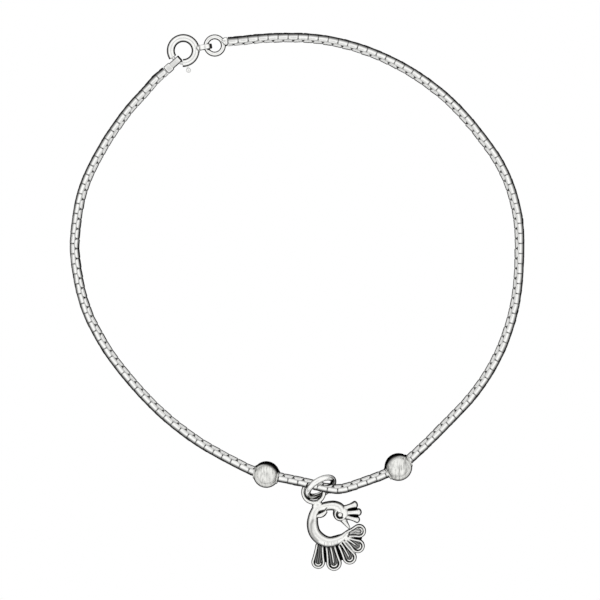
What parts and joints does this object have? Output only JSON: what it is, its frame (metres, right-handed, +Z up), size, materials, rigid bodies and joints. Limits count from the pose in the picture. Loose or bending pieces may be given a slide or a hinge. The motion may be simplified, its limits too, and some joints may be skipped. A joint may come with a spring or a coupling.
{
  "type": "anklet",
  "caption": "Silver box-snake chain anklet laid as an open loop, with round balls, a small cast peacock charm on a jump ring and a spring-ring clasp.",
  "frame": {"origin": "middle of the anklet's bounding box, on the surface it lies on", "axes": "+Z up from the surface, +Y from the charm towards the clasp side, +X to the right seen from above"},
  "size_m": [0.0818, 0.0968, 0.0056],
  "materials": {
    "polished_silver": "polished silver with darkened seams",
    "satin_silver": "satin silver with fine rubbing marks",
    "oxidised_cast_silver": "cast silver, polished high spots and oxidised recesses"
  },
  "bodies": {
    "anklet": {"snake_chain": "polished_silver", "bead_left": "satin_silver", "bead_right": "satin_silver", "jump_ring": "polished_silver", "peacock_charm": "oxidised_cast_silver", "clasp_ring": "polished_silver", "end_loop": "polished_silver", "end_ring": "polished_silver"},
    "tongue": {"clasp_tongue": "polished_silver"}
  },
  "joints": [
    {"name": "tongue_slide", "type": "hinge", "parent": "anklet", "child": "tongue", "pos_m": [-0.02049, 0.04518, 0.00082], "axis": [0, 0, 1], "range_deg": [0, 62], "stiffness_Nm_per_rad": 0.002}
  ]
}
